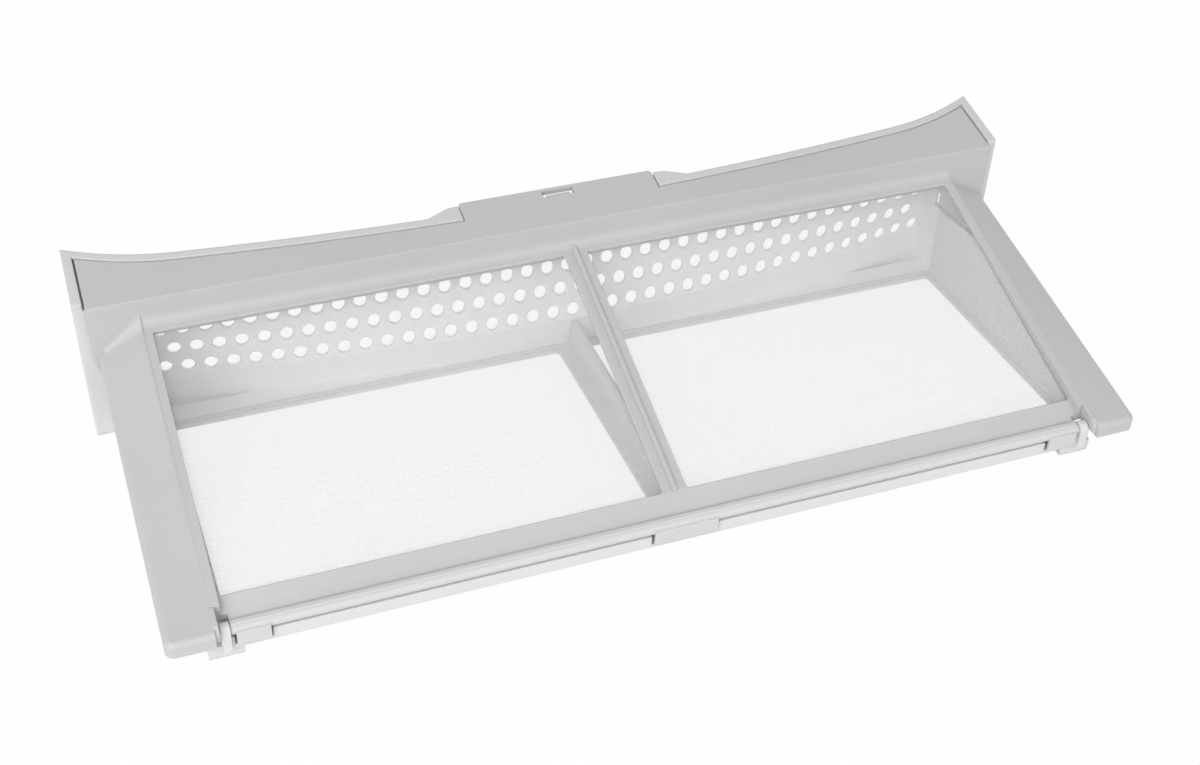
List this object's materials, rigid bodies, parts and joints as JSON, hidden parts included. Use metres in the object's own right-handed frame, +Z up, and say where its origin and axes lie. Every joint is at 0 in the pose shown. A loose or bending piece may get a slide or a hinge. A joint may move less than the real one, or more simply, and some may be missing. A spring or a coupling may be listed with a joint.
{
  "type": "tumble dryer lint filter",
  "caption": "Wide wedge-shaped lint filter with a mesh frame that folds open over a mesh tray, and a curved, perforated head with a lift-up handle edge.",
  "frame": {"origin": "centre of the bounding box's bottom, on the surface the filter rests on", "axes": "+X along the wide head, +Y from the hinge edge to the head, +Z up"},
  "size_m": [0.33, 0.1404, 0.0581],
  "materials": {
    "frame_plastic": "satin moulded, light grey",
    "tray_plastic": "satin moulded, light grey",
    "cover_plastic": "satin moulded, light grey",
    "filter_cloth": "fine woven screen, white"
  },
  "bodies": {
    "rear_half": {"rear_tray": "tray_plastic", "top_cover": "cover_plastic", "rear_mesh_left": "filter_cloth", "rear_mesh_right": "filter_cloth"},
    "front_half": {"front_frame": "frame_plastic", "front_mesh_left": "filter_cloth", "front_mesh_right": "filter_cloth"}
  },
  "joints": [
    {"name": "filter_fold", "type": "hinge", "parent": "rear_half", "child": "front_half", "pos_m": [0, -0.065, 0.0117], "axis": [1, 0, 0], "range_deg": [0, 120]}
  ]
}
